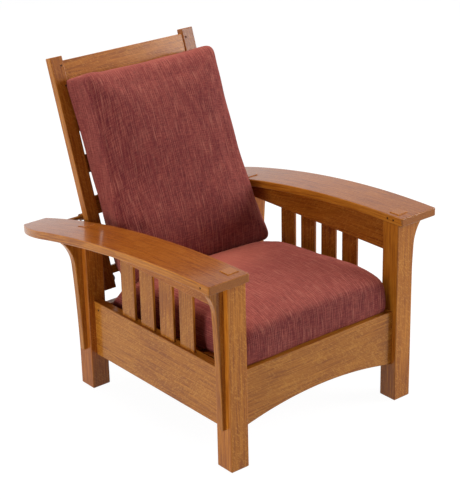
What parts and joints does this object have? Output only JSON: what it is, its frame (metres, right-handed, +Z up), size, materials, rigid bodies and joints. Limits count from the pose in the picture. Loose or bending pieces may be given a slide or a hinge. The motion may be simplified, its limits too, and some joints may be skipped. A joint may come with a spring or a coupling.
{
  "type": "reclining armchair",
  "caption": "Mission style reclining oak armchair with bowed wide arms, slatted sides, a hinged slatted back held by pegs, and loose seat and back cushions.",
  "frame": {"origin": "on the floor, under the middle of the chair's bounding box", "axes": "+Z up; the chair faces -Y; +X is the sitter's left, which is the right-hand side of the picture"},
  "size_m": [0.868, 1.0054, 0.9958],
  "materials": {
    "oak": "quarter-sawn white oak, fumed and satin lacquered, amber brown",
    "oak_end_grain": "dark end grain of pins and plugs",
    "oak_turned": "turned oak, satin",
    "oak_seat_frame": "plain-sawn oak, thinly finished",
    "upholstery": "heavy slubbed weave, burgundy with paler streaks",
    "steel": "dull steel bolts and screws"
  },
  "bodies": {
    "chair_frame": {"arm_edge_plugs": "oak_end_grain", "arm_left": "oak", "arm_rail_left": "oak", "arm_rail_right": "oak", "arm_right": "oak", "arm_tenon_pins": "oak_end_grain", "front_corbel_left": "oak", "front_corbel_right": "oak", "front_post_left": "oak", "front_post_right": "oak", "front_rail": "oak", "pivot_bolt_left": "steel", "pivot_bolt_right": "steel", "pivot_spacer_left": "oak_turned", "pivot_spacer_right": "oak_turned", "rear_corbel_left": "oak", "rear_corbel_right": "oak", "rear_post_left": "oak", "rear_post_right": "oak", "rear_rail": "oak_seat_frame", "seat_cleat_left": "oak_seat_frame", "seat_cleat_right": "oak_seat_frame", "seat_cleat_screws": "steel", "seat_runner_left": "oak_seat_frame", "seat_runner_right": "oak_seat_frame", "seat_slat_1": "oak_seat_frame", "seat_slat_2": "oak_seat_frame", "seat_slat_3": "oak_seat_frame", "seat_slat_4": "oak_seat_frame", "seat_slat_5": "oak_seat_frame", "seat_slat_6": "oak_seat_frame", "seat_slat_7": "oak_seat_frame", "seat_slat_screws": "steel", "side_rail_left": "oak", "side_rail_plugs": "oak_end_grain", "side_rail_right": "oak", "side_slat_left_1": "oak", "side_slat_left_2": "oak", "side_slat_left_3": "oak", "side_slat_left_4": "oak", "side_slat_right_1": "oak", "side_slat_right_2": "oak", "side_slat_right_3": "oak", "side_slat_right_4": "oak"},
    "back_frame": {"back_foot_rail": "oak", "back_slat_1": "oak", "back_slat_2": "oak", "back_slat_3": "oak", "back_slat_4": "oak", "back_stile_left": "oak", "back_stile_right": "oak", "back_top_rail": "oak", "back_top_rail_pins": "oak_end_grain"},
    "back_cushion": {"back_cushion": "upholstery"},
    "seat_cushion": {"seat_cushion": "upholstery"},
    "peg_left": {"adjusting_peg_left": "oak_turned"},
    "peg_right": {"adjusting_peg_right": "oak_turned"}
  },
  "joints": [
    {"name": "back_recline", "type": "hinge", "parent": "chair_frame", "child": "back_frame", "pos_m": [0, 0.23625, 0.327], "axis": [-1, 0, 0], "range_deg": [0, 24.6]},
    {"name": "back_cushion_lift", "type": "slide", "parent": "back_frame", "child": "back_cushion", "axis": [0, 0.309, 0.9511], "range_m": [0, 0.25]},
    {"name": "seat_cushion_slide", "type": "slide", "parent": "chair_frame", "child": "seat_cushion", "axis": [0, -0.9973, 0.074], "range_m": [0, 0.25]},
    {"name": "left_peg_pull", "type": "slide", "parent": "chair_frame", "child": "peg_left", "axis": [1, 0, 0], "range_m": [0, 0.065]},
    {"name": "right_peg_pull", "type": "slide", "parent": "chair_frame", "child": "peg_right", "axis": [-1, 0, 0], "range_m": [0, 0.065]}
  ]
}
